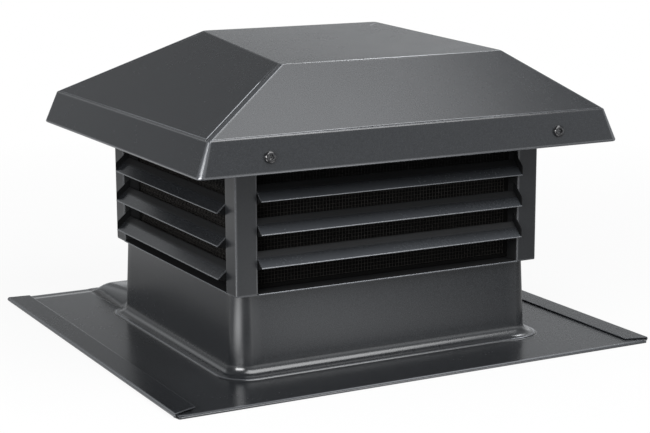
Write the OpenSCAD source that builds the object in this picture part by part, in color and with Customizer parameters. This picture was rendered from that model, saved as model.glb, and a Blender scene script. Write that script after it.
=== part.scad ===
// Square roof vent with fixed louvres: a flashing pan with a drawn collar, a louvred
// box on the collar and a hipped hood over the box.
// Millimetres, +Z up, the front towards -Y. The pan is centred on the origin and its
// underside is z = 0.

/* [Flashing pan] */
// Width of the flashing across the roof, left to right
pan_width = 480; // [360:5:720]
// Depth of the flashing, front to back
pan_depth = 440; // [340:5:680]
// Thickness of the flashing and collar sheet
pan_sheet = 1; // [0.6:0.1:2]
// Width of the hem folded under the front and back edges
under_hem = 9; // [5:1:16]
// Width of the hem turned up and over along each side
side_hem = 22; // [12:1:40]
// Clear height under the inner edge of a side hem
side_hem_open = 3; // [1:0.5:8]
// How far a side hem stops short of the front and back edges
side_hem_setback = 4; // [0:1:20]

/* [Collar] */
// How far the louvre box sits towards the front of the pan
box_forward = 15; // [0:1:40]
// Height of the collar top above the underside of the pan
collar_height = 76; // [50:1:160]
// Step in from the louvre box to the collar at each side
collar_inset_side = 4; // [0:1:14]
// Step in from the louvre box to the collar at front and back
collar_inset_front = 8; // [0:1:14]
// Radius of the collar corners at the top
collar_radius = 14; // [6:1:30]
// How much further out each collar wall stands at its foot
collar_taper = 3; // [0:0.5:8]
// Width of the collar top turned in under the louvre box
collar_flange = 10; // [6:1:20]
// Radius of the cove at the foot of the collar
cove_radius = 9; // [5:1:20]
// Width of the flat step round the cove
foot_ledge = 2; // [1:0.5:6]
// Height of the step above the pan
foot_step = 2; // [1:0.5:4]

/* [Back saddle] */
// Height of the raised saddle behind the collar, above the pan
saddle_height = 20; // [10:1:40]
// Height of the saddle where its back slope begins
saddle_back_height = 13; // [6:1:30]
// How far each side of the saddle stands inside the collar foot
saddle_inset = 13; // [0:1:20]
// Clear pan between the saddle and the hem at the back edge
saddle_margin = 2; // [1:1:30]
// Length of the back slope of the saddle
saddle_back_slope = 24; // [10:1:50]
// Width of the rounded shoulder along each side of the saddle
saddle_shoulder = 28; // [12:1:50]

/* [Louvre box] */
// Width of the louvre box
box_width = 308; // [240:2:420]
// Depth of the louvre box
box_depth = 278; // [220:2:380]
// Height of the louvre box
box_height = 130; // [110:1:200]
// Thickness of the box sheet
box_sheet = 1.2; // [0.8:0.1:2]
// Width of each post face
post_face = 21; // [14:1:36]
// Depth of the lips behind the post faces, and of the sill and header ledges
post_lip = 18; // [14:1:20]
// Height of the header rails
header_height = 22; // [12:1:36]
// Height of the upstand behind each screen
screen_upstand = 8; // [4:1:14]

/* [Louvre blades] */
// Blades on each face, measured from one outer edge to the next
blade_pitch = 29; // [24:0.5:40]
// Height of the lowest front and back outer edge above the box floor
blade_first = 24.5; // [12:0.5:40]
// How much lower the side blades sit than the front and back ones
blade_side_drop = 12; // [0:0.5:16]
// How far a blade stands out of the post faces
blade_out = 8; // [4:0.5:20]
// How far a blade reaches in behind the post faces
blade_in = 6; // [4:0.5:14]
// Rise of a blade from its outer edge to its inner edge
blade_rise = 13; // [8:0.5:22]

/* [Insect screens] */
// Thickness of a screen frame
screen_frame = 2; // [1.5:0.1:3]
// Width of a screen frame
screen_border = 4; // [3:0.5:10]
// Thickness of the woven mesh panel
screen_mesh = 0.8; // [0.4:0.1:1.2]

/* [Hood] */
// Hood overhang past the box at each side, at the skirt edge
hood_over_side = 55; // [20:1:90]
// Hood overhang past the box at front and back, at the skirt edge
hood_over_front = 49; // [20:1:90]
// How far the skirt edge hangs below the top of the box
skirt_cover = 16; // [8:1:30]
// Height of the skirt
skirt_height = 30; // [16:1:60]
// How far each side of the skirt leans in over its height
skirt_lean_side = 12; // [0:1:20]
// How far the front and the back of the skirt lean in over its height
skirt_lean_front = 6; // [0:1:20]
// Height of the front edge of the top panel above the eave fold
crown_rise = 54; // [30:1:90]
// How much higher the back edge of the top panel is than its front edge
crown_fall = 11; // [0:1:20]
// Plan depth of the steep front slope
front_run = 40; // [20:1:80]
// Plan width of each side slope at the front edge of the top panel
side_run = 86; // [40:1:130]
// Plan depth of the back slope
back_run = 124; // [60:1:150]
// Thickness of the hood sheet
hood_sheet = 1; // [0.6:0.1:2]
// Width of the skirt edge turned inwards
skirt_return = 8; // [4:1:14]

/* [Hood straps] */
// Width of each strap across the box
strap_width = 20; // [14:1:30]
// Thickness of each strap
strap_thick = 2; // [1.5:0.5:4]
// Clear height between a turned-down strap end and the skirt edge
strap_clear = 5; // [3:0.5:7]

/* [Output] */
// Sub-part to draw

/* [Hidden] */
$fn = 48;
cut = 1;                                        // overshoot of every cutting tool

// Pan
pan_top = 2 * pan_sheet;                        // sheet on top of the folded-under hem
hem_bend = 2 * pan_sheet;                       // outer radius of the bend along each side

// Box
half_w = box_width / 2;
half_d = box_depth / 2;
box_floor = collar_height;
box_top = box_floor + box_height;
side_span = box_depth - 2 * post_face;          // clear length between posts, sides
front_span = box_width - 2 * post_face;         // clear length between posts, front

// Collar, under the louvre box
collar_half_w = half_w - collar_inset_side;
collar_half_d = half_d - collar_inset_front;
foot_spread = collar_taper + cove_radius + foot_ledge;
foot_half_w = collar_half_w + foot_spread;
cove_top = pan_top + foot_step + cove_radius;

// Hood
skirt_bottom = box_top - skirt_cover;
hood_half_w = half_w + hood_over_side;
hood_half_d = half_d + hood_over_front;
eave_z = skirt_bottom + skirt_height;
eave_half_w = hood_half_w - skirt_lean_side;
eave_half_d = hood_half_d - skirt_lean_front;
crown_front_z = eave_z + crown_rise;
crown_back_z = crown_front_z + crown_fall;
side_grade = side_run / crown_rise;             // plan run of a side slope for each mm of rise
apex_z = crown_back_z + 5;                      // the side slopes go on past the top panel
strap_x = half_w - post_face / 2;
colour_sheet = [0.24, 0.25, 0.26];
colour_dark = [0.13, 0.13, 0.14];

// ---------------------------------------------------------------- helpers

// Extrudes a profile drawn in (y, z) along X, centred.
module along_x(length)
    rotate([90, 0, 90]) linear_extrude(height = length, center = true) children();

// Extrudes a profile drawn in (x, z) along Y, centred.
module along_y(length)
    rotate([90, 0, 0]) linear_extrude(height = length, center = true) children();

// Puts what stands over the box centre in its place on the pan.
module at_box() translate([0, -box_forward, 0]) children();

// Turns a piece drawn for the front of the box to the side named.
module face(side) {
    if (side == "front") children();
    if (side == "back") mirror([0, 1, 0]) children();
    if (side == "left") rotate([0, 0, -90]) children();
    if (side == "right") rotate([0, 0, 90]) children();
}

// Miter offset of the closed outline p to its left by t.
function offset_line(p, t) = [for (i = [0:len(p) - 1])
    let (a = p[(i + len(p) - 1) % len(p)], b = p[i], c = p[(i + 1) % len(p)],
         u = (b - a) / norm(b - a), v = (c - b) / norm(c - b),
         m = [-u[1], u[0]], n = [-v[1], v[0]])
    b + t * (m + n) / (1 + m * n)];

// ---------------------------------------------------------------- base pan

// Half section of the collar, out from a corner axis, with t taken off its outside.
module collar_section(t) {
    wall = collar_radius + collar_taper;
    top = collar_height - t;
    low = t > 0 ? -cut : pan_sheet;
    polygon([[0, low], [wall - t, low], [wall - t, cove_top], [collar_radius - t, top], [0, top]]);
    difference() {
        translate([0, low]) square([wall + cove_radius, cove_top - low]);
        translate([wall + cove_radius, cove_top]) circle(r = cove_radius + t);
    }
    translate([0, low]) square([wall + cove_radius + foot_ledge - t, pan_top + foot_step - t - low]);
}

// The whole collar as a block, with t taken off its outside.
module collar_block(t) {
    ax = collar_half_w - collar_radius;
    ay = collar_half_d - collar_radius;
    low = t > 0 ? -cut : pan_sheet;
    translate([-ax, -ay, low]) cube([2 * ax, 2 * ay, collar_height - t - low]);
    for (s = [-1, 1]) {
        translate([0, s * ay, 0]) along_x(2 * ax) scale([s, 1]) collar_section(t);
        translate([s * ax, 0, 0]) along_y(2 * ay) scale([s, 1]) collar_section(t);
        for (q = [-1, 1]) translate([s * ax, q * ay, 0]) rotate_extrude() collar_section(t);
    }
}

// Clear hole through the turned-in top of the collar.
module throat() {
    tx = collar_half_w - collar_flange;
    ty = collar_half_d - collar_flange;
    tr = max(collar_radius - collar_flange, 3);
    deep = 2 * pan_sheet + 2 * cut;
    for (e = [[tx, ty - tr], [tx - tr, ty]])
        translate([-e[0], -e[1], collar_height - deep + cut]) cube([2 * e[0], 2 * e[1], deep]);
    for (s = [-1, 1], q = [-1, 1])
        translate([s * (tx - tr), q * (ty - tr), collar_height - deep + cut]) cylinder(r = tr, h = deep);
}

// The raised saddle behind the collar as a block, with t taken off its outside.
module saddle_block(t) {
    w = foot_half_w - saddle_inset;
    low = t > 0 ? -3 * cut : pan_sheet;
    top = pan_top + saddle_height;
    start = collar_half_d - collar_radius;
    back = pan_depth / 2 + box_forward - under_hem - saddle_margin;
    crest = back - saddle_back_slope;
    across = [[w, low], [w, pan_top],
              [w - 0.25 * saddle_shoulder, pan_top + 0.5 * saddle_height],
              [w - 0.55 * saddle_shoulder, pan_top + 0.82 * saddle_height],
              [w - saddle_shoulder, top], [saddle_shoulder - w, top],
              [0.55 * saddle_shoulder - w, pan_top + 0.82 * saddle_height],
              [0.25 * saddle_shoulder - w, pan_top + 0.5 * saddle_height],
              [-w, pan_top], [-w, low]];
    along = [[start, low], [back, low], [back, pan_top],
             [back - 0.35 * saddle_back_slope, pan_top + 0.55 * saddle_back_height],
             [crest, pan_top + saddle_back_height],
             [collar_half_d, top], [start, top]];
    intersection() {
        translate([0, back / 2, 0]) along_y(2 * back) polygon(offset_line(across, t));
        along_x(2 * w + 2 * cut) polygon(offset_line(along, t));
    }
}

// The left side hem in (x, z): a bend up and over the pan, then an open flap.
module side_hem_section() {
    seam = hem_bend - pan_width / 2;
    flap = side_hem - pan_width / 2;
    over = pan_sheet + 2 * hem_bend;
    tip = pan_top + side_hem_open;
    translate([seam, pan_sheet + hem_bend]) difference() {
        circle(r = hem_bend);
        circle(r = hem_bend - pan_sheet);
        translate([0, -2 * hem_bend]) square(4 * hem_bend);
    }
    polygon([[seam, over - pan_sheet], [flap, tip], [flap, tip + pan_sheet], [seam, over]]);
}

module base_pan() color(colour_sheet) {
    hw = pan_width / 2 - hem_bend;
    hd = pan_depth / 2;
    difference() {
        union() {
            translate([-hw, -hd, pan_sheet]) cube([2 * hw, 2 * hd, pan_sheet]);
            translate([-hw, -hd, 0]) cube([2 * hw, under_hem, pan_sheet]);
            translate([-hw, hd - under_hem, 0]) cube([2 * hw, under_hem, pan_sheet]);
            at_box() collar_block(0);
            at_box() saddle_block(0);
        }
        at_box() collar_block(pan_sheet);
        at_box() throat();
        at_box() saddle_block(pan_sheet);
    }
    for (s = [-1, 1])
        scale([s, 1, 1]) along_y(pan_depth - 2 * side_hem_setback) side_hem_section();
}

// ---------------------------------------------------------------- louvre box

// Reach of the box face, and length between its posts, for the side named.
function reach(side) = side == "left" || side == "right" ? half_w : half_d;
function span(side) = side == "left" || side == "right" ? side_span : front_span;

module sill(side) color(colour_sheet) at_box() face(side) {
    f = reach(side);
    seat = post_lip + box_sheet;
    along_x(span(side)) polygon([
        [-f, box_floor], [seat - f, box_floor], [seat - f, box_floor + box_sheet + screen_upstand],
        [post_lip - f, box_floor + box_sheet + screen_upstand], [post_lip - f, box_floor + box_sheet],
        [-f, box_floor + box_sheet]]);
}

module header(side) color(colour_sheet) at_box() face(side) {
    f = reach(side);
    seat = post_lip + box_sheet;
    under = box_top - box_sheet;
    along_x(span(side)) polygon([
        [-f, box_top], [-f, box_top - header_height], [box_sheet - f, box_top - header_height],
        [box_sheet - f, under], [post_lip - f, under], [post_lip - f, under - screen_upstand],
        [seat - f, under - screen_upstand], [seat - f, box_top]]);
}

// The back right post; the others are its mirror images.
module post(sx, sy) color(colour_sheet) at_box() scale([sx, sy, 1]) {
    translate([half_w - post_face, half_d - post_face, box_floor]) {
        translate([0, post_face - box_sheet, 0]) cube([post_face, box_sheet, box_height]);
        translate([post_face - box_sheet, 0, 0]) cube([box_sheet, post_face, box_height]);
        translate([0, post_face - post_lip, 0]) cube([box_sheet, post_lip, box_height]);
        translate([post_face - post_lip, 0, 0]) cube([post_lip, box_sheet, box_height]);
        cube([post_face, post_face, box_sheet]);
    }
}

// One blade, counted from the top, with a cheek under each end.
module blade(side, row) color(colour_sheet) at_box() face(side) {
    f = reach(side);
    drop = side == "left" || side == "right" ? blade_side_drop : 0;
    edge = box_floor + blade_first - drop + (3 - row) * blade_pitch;
    run = blade_out + blade_in;
    skin = box_sheet * norm([run, blade_rise]) / run;
    y0 = -f - blade_out;
    y1 = blade_in - f;
    along_x(span(side)) polygon([
        [y0, edge], [y1, edge + blade_rise], [y1, edge + blade_rise + skin], [y0, edge + skin]]);
    for (s = [-1, 1])
        translate([s * (span(side) - box_sheet) / 2, 0, 0]) along_x(box_sheet) polygon([
            [y0, edge], [y1, edge], [y1, edge + blade_rise + skin], [y0, edge + skin]]);
}

// One screen: a flat frame nested between the post lips, with the mesh panel in it.
module screen(side) color(colour_dark) at_box() face(side) {
    f = reach(side);
    low = box_floor + box_sheet;
    tall = box_height - 2 * box_sheet;
    wide = span(side);
    translate([-wide / 2, post_lip - screen_frame - f, low]) {
        difference() {
            cube([wide, screen_frame, tall]);
            translate([screen_border, -cut, screen_border])
                cube([wide - 2 * screen_border, screen_frame + 2 * cut, tall - 2 * screen_border]);
        }
        translate([screen_border / 2, (screen_frame - screen_mesh) / 2, screen_border / 2])
            cube([wide - screen_border, screen_mesh, tall - screen_border]);
    }
}

// ---------------------------------------------------------------- hood

lean_grade = skirt_lean_front / skirt_height;

// Distance of the inner face of the front and back skirt from the box centre, at height z.
function skirt_inside(z) = hood_half_d - lean_grade * (z - skirt_bottom)
    - hood_sheet * norm([1, lean_grade]);

// A strap over the posts of one side, with its ends turned down against the skirt.
module strap(s) color(colour_sheet) at_box() {
    top = box_top + strap_thick;
    low = skirt_bottom + strap_clear;
    thick = strap_thick * norm([1, lean_grade]);
    right = [[skirt_inside(box_top) - thick, box_top], [skirt_inside(low) - thick, low],
             [skirt_inside(low), low], [skirt_inside(top), top]];
    left = [for (i = [3:-1:0]) [-right[i][0], right[i][1]]];
    translate([s * strap_x, 0, 0]) along_x(strap_width) polygon(concat(right, left));
}

// The hood as a block, with t taken off its outside.
module hood_block(t) {
    side = [[-hood_half_d, skirt_bottom], [hood_half_d, skirt_bottom], [eave_half_d, eave_z],
            [eave_half_d - back_run, crown_back_z], [front_run - eave_half_d, crown_front_z],
            [-eave_half_d, eave_z]];
    top_half = eave_half_w - side_grade * (apex_z - eave_z);
    front = [[-hood_half_w, skirt_bottom], [hood_half_w, skirt_bottom], [eave_half_w, eave_z],
             [top_half, apex_z], [-top_half, apex_z], [-eave_half_w, eave_z]];
    intersection() {
        along_x(2 * hood_half_w + 2 * cut) polygon(offset_line(side, t));
        along_y(2 * hood_half_d + 2 * cut) polygon(offset_line(front, t));
    }
}

module hood() color(colour_sheet) at_box() difference() {
    hood_block(0);
    hood_block(hood_sheet);
    translate([skirt_return - hood_half_w, skirt_return - hood_half_d, skirt_bottom - cut])
        cube([2 * (hood_half_w - skirt_return), 2 * (hood_half_d - skirt_return), 2 * cut + hood_sheet]);
}

// ---------------------------------------------------------------- sub-parts

base_pan();
sill("front");  // sill_front
sill("back");  // sill_back
sill("left");  // sill_left
sill("right");  // sill_right
post(-1, -1);  // post_front_left
post(1, -1);  // post_front_right
post(-1, 1);  // post_back_left
post(1, 1);  // post_back_right
blade("front", 1);  // blade_front_1
blade("front", 2);  // blade_front_2
blade("front", 3);  // blade_front_3
blade("back", 1);  // blade_back_1
blade("back", 2);  // blade_back_2
blade("back", 3);  // blade_back_3
blade("left", 1);  // blade_left_1
blade("left", 2);  // blade_left_2
blade("left", 3);  // blade_left_3
blade("right", 1);  // blade_right_1
blade("right", 2);  // blade_right_2
blade("right", 3);  // blade_right_3
screen("front");  // screen_front
screen("back");  // screen_back
screen("left");  // screen_left
screen("right");  // screen_right
header("front");  // header_front
header("back");  // header_back
header("left");  // header_left
header("right");  // header_right
strap(-1);  // strap_left
strap(1);  // strap_right
hood();
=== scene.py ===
"""Square roof vent with fixed louvres: the looks of its sheet-metal pieces.

Run as a script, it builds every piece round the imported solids, in metres, +Z up and the
front towards -Y.
"""

import math

import bpy
import numpy as np
from bpy.props import FloatProperty, FloatVectorProperty, IntProperty, PointerProperty
from bpy.types import Operator, Panel, PropertyGroup
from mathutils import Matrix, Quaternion, Vector


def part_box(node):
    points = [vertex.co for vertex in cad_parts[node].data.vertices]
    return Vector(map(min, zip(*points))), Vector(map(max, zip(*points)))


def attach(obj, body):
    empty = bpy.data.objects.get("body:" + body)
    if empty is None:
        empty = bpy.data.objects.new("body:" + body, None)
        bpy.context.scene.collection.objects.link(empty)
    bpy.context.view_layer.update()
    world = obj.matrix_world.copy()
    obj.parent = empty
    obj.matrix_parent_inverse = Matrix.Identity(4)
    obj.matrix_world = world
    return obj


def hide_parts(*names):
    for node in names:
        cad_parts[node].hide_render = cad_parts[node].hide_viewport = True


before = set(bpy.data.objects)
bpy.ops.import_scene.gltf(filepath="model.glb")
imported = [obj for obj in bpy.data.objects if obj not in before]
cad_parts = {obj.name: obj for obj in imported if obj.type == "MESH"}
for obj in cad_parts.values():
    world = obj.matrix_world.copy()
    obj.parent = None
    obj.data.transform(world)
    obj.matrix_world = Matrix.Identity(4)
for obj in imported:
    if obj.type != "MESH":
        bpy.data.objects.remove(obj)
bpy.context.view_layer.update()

bl_info = {
    "name": "Roof Vent",
    "version": (1, 0, 0),
    "blender": (4, 5, 0),
    "location": "3D View > Sidebar > Roof Vent",
    "description": "Builds a louvred roof vent, its insect screens and its screws",
    "category": "Add Mesh",
}

BODY = "root"

# Quarter turns about Z that bring a piece drawn for the front to each side
TURNS = {"front": 0, "right": 1, "back": 2, "left": 3}
ROWS = (1, 2, 3)

PAN_LO, PAN_HI = (np.array(p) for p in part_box("base_pan"))
HOOD_LO, HOOD_HI = (np.array(p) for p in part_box("hood"))
BOX_LO = np.array(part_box("post_front_left")[0])
BOX_HI = np.array(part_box("post_back_right")[1])
BOX_CENTRE = np.array([(BOX_LO[0] + BOX_HI[0]) / 2, (BOX_LO[1] + BOX_HI[1]) / 2, 0.0])
BOX_HALF = (BOX_HI - BOX_LO) / 2


# ------------------------------------------------------------------ sizes and finishes

def length(name, description, default):
    """A length in metres that a user may change."""
    return FloatProperty(name=name, description=description, default=default,
                         min=0.0, unit="LENGTH", precision=5)


def shade(name, description, default):
    """A linear colour that a user may change."""
    return FloatVectorProperty(name=name, description=description, default=default,
                               min=0.0, max=1.0, size=3, subtype="COLOR")


def share(name, description, default):
    """A number from 0 to 1 that a user may change."""
    return FloatProperty(name=name, description=description, default=default,
                         min=0.0, max=1.0, subtype="FACTOR")


class FlashingSizes(PropertyGroup):
    sheet: length("Sheet", "Thickness of the flashing sheet", 0.001)
    collar_inset_side: length("Collar inset, sides",
                              "Step in from the box to the collar at the sides", 0.004)
    collar_inset_front: length("Collar inset, front",
                               "Step in from the box to the collar at front and back", 0.008)
    collar_radius: length("Collar radius", "Radius of the collar corners at the top", 0.014)
    collar_taper: length("Collar taper", "How much further out the collar wall stands at its foot", 0.003)
    collar_flange: length("Collar flange", "Width of the collar top turned in", 0.010)
    collar_fold: length("Collar fold", "Radius of the bend round the collar top", 0.0025)
    cove: length("Cove", "Radius of the cove at the collar foot", 0.009)
    ledge: length("Ledge", "Width of the flat step round the cove", 0.002)
    step: length("Step", "Height of the step above the pan", 0.002)
    step_run: length("Step run", "Width over which the step falls to the pan", 0.0014)
    saddle_width: length("Saddle half width", "From the middle to the foot of the saddle's side", 0.151)
    saddle_height: length("Saddle height", "Height of the saddle at the collar", 0.020)
    saddle_back: length("Saddle back height", "Height of the saddle where its back slope begins", 0.013)
    saddle_margin: length("Saddle margin", "From the back edge of the pan to the saddle", 0.011)
    saddle_slope: length("Saddle slope", "Length of the back slope of the saddle", 0.024)
    saddle_shoulder: length("Saddle shoulder", "Width of the rounded side of the saddle", 0.028)
    saddle_run_in: length("Saddle run-in", "Length over which the saddle rises beside the collar", 0.022)
    under_hem: length("Under hem", "Width of the hem folded under the front and back edges", 0.009)
    side_hem: length("Side hem", "Width of the hem turned over along each side", 0.022)
    left_hem_open: length("Left hem gap", "Clear height under the inner edge of the left hem", 0.003)
    right_hem_open: length("Right hem gap", "Clear height under the inner edge of the right hem", 0.0016)
    side_hem_setback: length("Side hem setback", "How far a side hem stops short of the front edge", 0.004)
    side_hem_mitre: length("Side hem mitre",
                           "How much shorter the inner edge of a side hem is, at each end", 0.007)
    corner: length("Pan corner", "Radius of the pan's own corners", 0.005)


class HoodSizes(PropertyGroup):
    sheet: length("Sheet", "Thickness of the hood sheet", 0.001)
    skirt: length("Skirt height", "Height of the skirt", 0.030)
    lean_side: length("Side lean", "How far the skirt leans in at the sides", 0.012)
    lean_front: length("Front lean", "How far the skirt leans in at front and back", 0.006)
    front_run: length("Front run", "Plan depth of the front slope", 0.040)
    side_run: length("Side run", "Plan width of a side slope at the front of the top panel", 0.086)
    back_run: length("Back run", "Plan depth of the back slope", 0.124)
    rise: length("Rise", "Height of the top panel's front edge above the eave", 0.054)
    turn_in: length("Turned edge", "Width of the skirt edge turned inwards", 0.008)
    skirt_fold: length("Skirt fold", "Radius of the bend along the skirt edge", 0.0016)
    eave_fold: length("Eave fold", "Radius of the bend along the eave", 0.0018)
    crown_fold: length("Crown fold", "Radius of the bend round the top panel", 0.0030)
    hip_fold: length("Hip fold", "Radius of the bend down each hip", 0.0030)
    skirt_corner: length("Skirt corner", "Radius of the bend down each skirt corner", 0.0055)
    seam_width: length("Seam width", "Width of the pressed seam beside each hip", 0.0036)
    seam_depth: length("Seam depth", "Depth of the pressed seam beside each hip", 0.0008)
    seam_place: length("Seam place", "From the bend of a hip to the middle of its seam", 0.0024)


class LouvreSizes(PropertyGroup):
    sheet: length("Sheet", "Thickness of the box sheet", 0.0012)
    bend: length("Bend", "Radius of the bends at mid-sheet", 0.0009)
    edge: length("Edge", "Width of the broken edges", 0.00025)
    post_face: length("Post face", "Width of each post face", 0.021)
    lip: length("Lip", "Depth of the lips behind the post faces", 0.018)
    upstand: length("Upstand", "Height of the upstand behind each screen", 0.008)
    cheek_drop: length("Cheek drop", "How far a cheek's lower edge falls towards the box", 0.0030)
    tab_height: length("Tab height", "Height of the tab turned up at a blade's other end", 0.0078)
    tab_corner: length("Tab corner", "Radius of a tab's outer corner", 0.0032)


class ScreenSizes(PropertyGroup):
    border: length("Frame width", "Width of a screen's frame", 0.004)
    pitch: length("Wire pitch", "From one wire to the next", 0.0032)
    wire: length("Wire", "Diameter of the wire", 0.00048)
    # Thickness of the black sheet behind the wires, which stands in for the shade inside the box
    cloth: length("Cloth", "Thickness of the cloth behind the wires", 0.0003)


class ScrewSizes(PropertyGroup):
    head: length("Head", "Radius of a screw's pan head", 0.0053)
    dome: length("Dome", "Height of the head", 0.0034)
    recess: length("Recess", "Mean radius of the six-lobed recess", 0.0021)
    recess_depth: length("Recess depth", "Depth of the recess", 0.0019)
    shank: length("Shank", "Radius of the threaded shank", 0.0021)
    reach: length("Reach", "Length of the shank behind the head", 0.011)
    thread: length("Thread", "Pitch of the thread", 0.0013)
    height: length("Height", "From the skirt edge up to each screw", 0.0140)
    columns: IntProperty(name="Columns", description="Faces round a screw", default=48, min=12)


class Finishes(PropertyGroup):
    coat: shade("Coat", "Anthracite powder coat on all the sheet", (0.0155, 0.0168, 0.0190))
    # Three times as bright, this is also the painted light on the lips of the front and back blades
    coat_pale: shade("Pale coat", "Paler specks of the coat", (0.022, 0.0238, 0.0265))
    # Painted highlight: the paler colour of bends and edges, which are also made metallic
    coat_edge_highlight: shade("Thin coat", "The coat on bends and edges, where steel glints through",
                     (0.24, 0.25, 0.27))
    # How metallic the painted highlight lines on bends and edges are
    glint: share("Glint", "How metallic the thinnest coat is", 0.8)
    burnish: share("Burnish", "Gloss that the tools leave on bends and drawn corners", 0.55)
    roughness: share("Roughness", "Mean roughness of the coat", 0.26)
    wire: shade("Wire", "Woven wire of the screens", (0.024, 0.022, 0.020))
    # The same black is also painted shade: in creases, behind the box's faces and on the wires above the
    # top blades
    end: shade("Blade end", "Black of the closed blade ends", (0.004, 0.0042, 0.0045))
    # Painted shade: black of the sheet behind the wires and of the screen frames
    cloth: shade("Cloth", "Black cloth behind the wires", (0.0045, 0.0043, 0.0042))
    screw: shade("Screw", "Black oxide on the screws", (0.008, 0.008, 0.009))
    floor: shade("Floor", "Studio floor", (0.62, 0.62, 0.62))


class StageSizes(PropertyGroup):
    lens: FloatProperty(name="Lens", description="Focal length of the camera, in millimetres", default=94.8)
    azimuth: FloatProperty(name="Azimuth", description="Camera azimuth, 0 looking along +Y",
                           default=math.radians(-28.0), unit="ROTATION")
    elevation: FloatProperty(name="Elevation", description="Camera elevation above the horizon",
                             default=math.radians(11.6), unit="ROTATION")
    roll: FloatProperty(name="Roll", description="Turn of the camera about its own axis",
                        default=math.radians(-0.2), unit="ROTATION")
    distance: length("Distance", "From the camera to the point it looks at", 1.6454)
    aim_right: FloatProperty(name="Aim right", description="Point looked at, right of the box's centre",
                             default=0.0057, unit="LENGTH")
    aim_height: length("Aim height", "Height of the point looked at", 0.1065)
    floor_radius: length("Floor radius", "Radius of the studio floor", 6.0)


SETTINGS = {
    "vent_flashing": FlashingSizes,
    "vent_hood": HoodSizes,
    "vent_louvres": LouvreSizes,
    "vent_screens": ScreenSizes,
    "vent_screws": ScrewSizes,
    "vent_finishes": Finishes,
    "vent_stage": StageSizes,
}


# ------------------------------------------------------------------ shapes as arrays

HOLD = 0.0004   # a bend is held flat this far beyond its ends, so that panels shade flat


def unit(vectors):
    """Vectors divided by their lengths."""
    return vectors / np.maximum(np.linalg.norm(vectors, axis=-1, keepdims=True), 1e-12)


def fillet(before, corner, after, radius, steps=6):
    """Arc of the radius between the lines before-corner and corner-after, held flat at its ends.

    The centre lies on the bisector, at the radius over the sine of half the corner's angle.
    The arc's points are the two touching points, seen from the centre, mixed by sines of the
    share of the angle that is still to turn and has turned."""
    a, b = unit(before - corner), unit(after - corner)
    half = 0.5 * np.arccos(np.clip((a * b).sum(-1, keepdims=True), -1, 1))
    centre = corner + unit(a + b) * radius / np.sin(half)
    first, last = corner + a * radius / np.tan(half), corner + b * radius / np.tan(half)
    turn = (np.pi - 2 * half)[..., None, :]
    share_turned = np.linspace(0, 1, steps)[:, None]
    arc = centre[..., None, :] + (
        np.sin((1 - share_turned) * turn) * (first - centre)[..., None, :]
        + np.sin(share_turned * turn) * (last - centre)[..., None, :]) / np.sin(turn)
    held = [(first + a * HOLD)[..., None, :], arc, (last + b * HOLD)[..., None, :]]
    return np.concatenate(held, axis=-2)


def bent_path(corners, radius=0.0):
    """A line through the corners with an arc of the radius at every inner corner.

    A point is added close to each end, so that what is worked out there stays there."""
    corners = np.asarray(corners, float)
    ends = corners[[0, -1]] + unit(corners[[1, -2]] - corners[[0, -1]]) * HOLD
    arcs = fillet(corners[:-2], corners[1:-1], corners[2:], radius) if len(corners) > 2 else corners[:0]
    return np.concatenate([corners[:1], ends[:1], arcs.reshape(-1, 2), ends[1:], corners[-1:]])


def strip_outline(path, thickness):
    """Outline of a sheet seen end on: the path moved half a thickness to each side, with round ends.

    Points run up one side and back down the other, so that point i faces point -1 - i."""
    along = unit(np.gradient(path, axis=0))
    left = np.stack([-along[:, 1], along[:, 0]], -1)
    turn = np.radians([18, 54])[:, None]
    half = thickness / 2
    start = path[0] - half * np.cos(turn) * along[0]
    end = path[-1] + half * np.cos(turn[::-1]) * along[-1]
    middle = np.concatenate([start, path, end])
    across = half * np.concatenate([np.sin(turn) * left[0], left, np.sin(turn[::-1]) * left[-1]])
    return np.concatenate([middle + across, (middle - across)[::-1]])


def skin(sections, loop=False):
    """Quads over closed rings of points, one ring to a row, with every face turned outwards.

    With loop the last ring joins the first. Otherwise both end rings are filled by quads
    from point i to the point that faces it, -1 - i. The sign of the volume enclosed, the sum
    of the triple products of the faces' corners, says whether the faces have to be turned."""
    rows, cols = sections.shape[:2]
    points = sections.reshape(-1, 3)
    row, col = np.meshgrid(np.arange(rows if loop else rows - 1), np.arange(cols), indexing="ij")
    next_row, next_col = (row + 1) % rows, (col + 1) % cols
    quads = np.stack([row * cols + col, row * cols + next_col,
                      next_row * cols + next_col, next_row * cols + col], -1).reshape(-1, 4)
    if not loop:
        i = np.arange(cols // 2 - 1)
        cap = np.stack([i, cols - 1 - i, cols - 2 - i, i + 1], -1)
        quads = np.concatenate([quads, cap, (cap + (rows - 1) * cols)[:, ::-1]])
    a, b, c, d = (points[quads[:, k]] - points.mean(0) for k in range(4))
    volume = (np.cross(a, b) * c).sum() + (np.cross(a, c) * d).sum()
    return points, quads if volume > 0 else quads[:, ::-1]


def thicken(sections, thickness):
    """The rings, and the same rings moved a thickness back along the surface's normals.

    A normal is the cross product of the directions to the next ring's and the next point's side."""
    round_it = np.roll(sections, -1, 1) - np.roll(sections, 1, 1)
    normals = unit(np.cross(unit(round_it), unit(np.gradient(sections, axis=0))))
    return sections - thickness * normals


def extrude(outline, low, high):
    """A solid with the outline (out, up) as its section, from low to high along the face.

    low and high may be arrays with a value for each point of the outline, for a slanting cut."""
    places = (low, low + HOLD, high - HOLD, high)
    return skin(np.stack([np.column_stack([np.broadcast_to(e, len(outline)), outline]) for e in places]))


def upright(plan, levels):
    """A solid that stands on the plan (along, out), with a ring of points at each level."""
    return skin(np.stack([np.column_stack([plan, np.full(len(plan), z)]) for z in levels]))


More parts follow.
